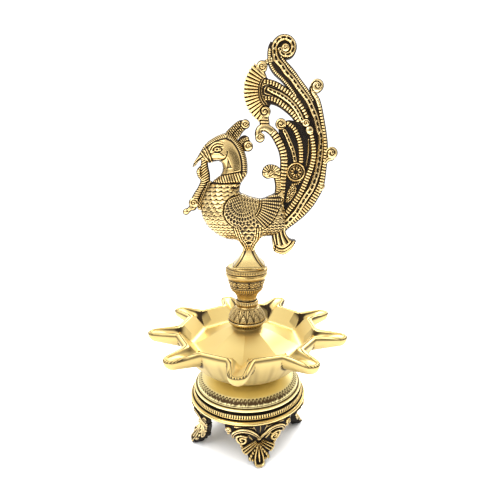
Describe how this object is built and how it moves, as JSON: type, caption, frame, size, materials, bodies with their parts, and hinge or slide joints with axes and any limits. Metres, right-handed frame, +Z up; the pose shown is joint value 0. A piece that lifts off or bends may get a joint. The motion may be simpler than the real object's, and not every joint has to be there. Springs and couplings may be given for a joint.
{
  "type": "brass oil lamp",
  "caption": "Standing brass oil lamp: scroll-footed domed base, wide dish with wick spouts round its rim, turned stem and a peacock finial with a tall openwork tail.",
  "frame": {"origin": "on the table, under the lamp's axis, at the centre of the four feet", "axes": "+Z up along the stem; the bird and its tail stand in the XZ plane, with the beak towards -X"},
  "size_m": [0.161, 0.1607, 0.3252],
  "materials": {
    "polished_brass": "hand-polished cast brass",
    "antique_brass": "cast brass with dark patina in the recesses and rubbed highlights",
    "bird_brass": "chased cast brass, rubbed bright over a dark patina",
    "steel": "plain threaded steel"
  },
  "bodies": {
    "base": {"pedestal_dome": "polished_brass", "base_ring": "antique_brass", "leg_front": "antique_brass", "leg_right": "antique_brass", "leg_rear": "antique_brass", "leg_left": "antique_brass", "leg_screws": "steel"},
    "dish_stud": {"dish_stud": "steel"},
    "dish": {"dish": "polished_brass"},
    "stem_stud": {"stem_stud": "steel"},
    "stem": {"stem_bulb": "antique_brass", "stem_collar": "antique_brass", "stem_urn": "antique_brass"},
    "peacock_stud": {"peacock_stud": "steel"},
    "peacock": {"peacock_foot": "polished_brass", "peacock_body": "bird_brass", "crest": "bird_brass", "garland": "bird_brass", "tail_web": "antique_brass", "tail_main_plume": "bird_brass", "tail_outer_plume": "bird_brass", "tail_ribbed_plume": "bird_brass", "tail_inner_plume": "bird_brass", "tail_hook": "bird_brass", "eye_feather": "bird_brass", "fan_shell": "bird_brass", "under_tail_plume": "bird_brass"}
  },
  "joints": [
    {"name": "dish_rise", "type": "slide", "parent": "base", "child": "dish_stud", "axis": [0, 0, 1], "range_m": [0, 0.00688]},
    {"name": "dish_turn", "type": "hinge", "parent": "dish_stud", "child": "dish", "pos_m": [0, 0, 0.0617], "axis": [0, 0, 1], "range_deg": [0, 1985]},
    {"name": "stem_rise", "type": "slide", "parent": "dish", "child": "stem_stud", "axis": [0, 0, 1], "range_m": [0, 0.00688]},
    {"name": "stem_turn", "type": "hinge", "parent": "stem_stud", "child": "stem", "pos_m": [0, 0, 0.102], "axis": [0, 0, 1], "range_deg": [0, 1985]},
    {"name": "peacock_rise", "type": "slide", "parent": "stem", "child": "peacock_stud", "axis": [0, 0, 1], "range_m": [0, 0.00688]},
    {"name": "peacock_turn", "type": "hinge", "parent": "peacock_stud", "child": "peacock", "pos_m": [0, 0, 0.1535], "axis": [0, 0, 1], "range_deg": [0, 1985]}
  ],
  "couplings": [
    {"joint": "dish_turn", "follows": "dish_rise", "rad_per_m": 5026.5},
    {"joint": "stem_turn", "follows": "stem_rise", "rad_per_m": 5026.5},
    {"joint": "peacock_turn", "follows": "peacock_rise", "rad_per_m": 5026.5}
  ]
}
